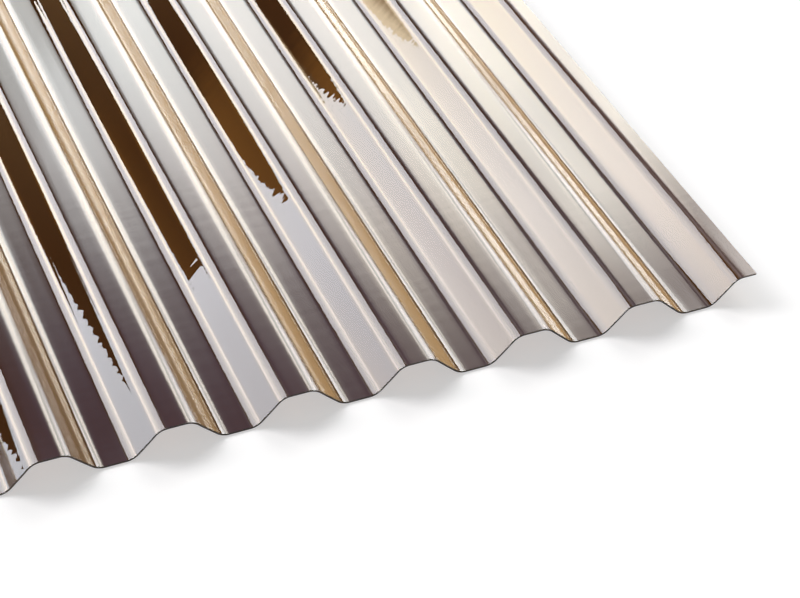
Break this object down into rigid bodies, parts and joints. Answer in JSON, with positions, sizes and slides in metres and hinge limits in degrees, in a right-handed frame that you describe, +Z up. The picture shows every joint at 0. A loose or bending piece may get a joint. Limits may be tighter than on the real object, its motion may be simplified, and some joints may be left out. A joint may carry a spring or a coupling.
{
  "type": "trapezoidal pvc sheet",
  "caption": "Clear bronze-tinted PVC roofing sheet with straight-sided rounded ribs, cut square, for lapping over purlins.",
  "frame": {"origin": "under the middle of the sheet, on the plane that the undersides of its valleys rest on", "axes": "+X across the ribs from the valley edge to the crest edge, +Y along the ribs, +Z up to the weather side"},
  "size_m": [1.11, 2, 0.018],
  "materials": {
    "bronze_pvc": "gloss"
  },
  "bodies": {
    "root": {"profiled_sheet": "bronze_pvc"}
  },
  "joints": []
}
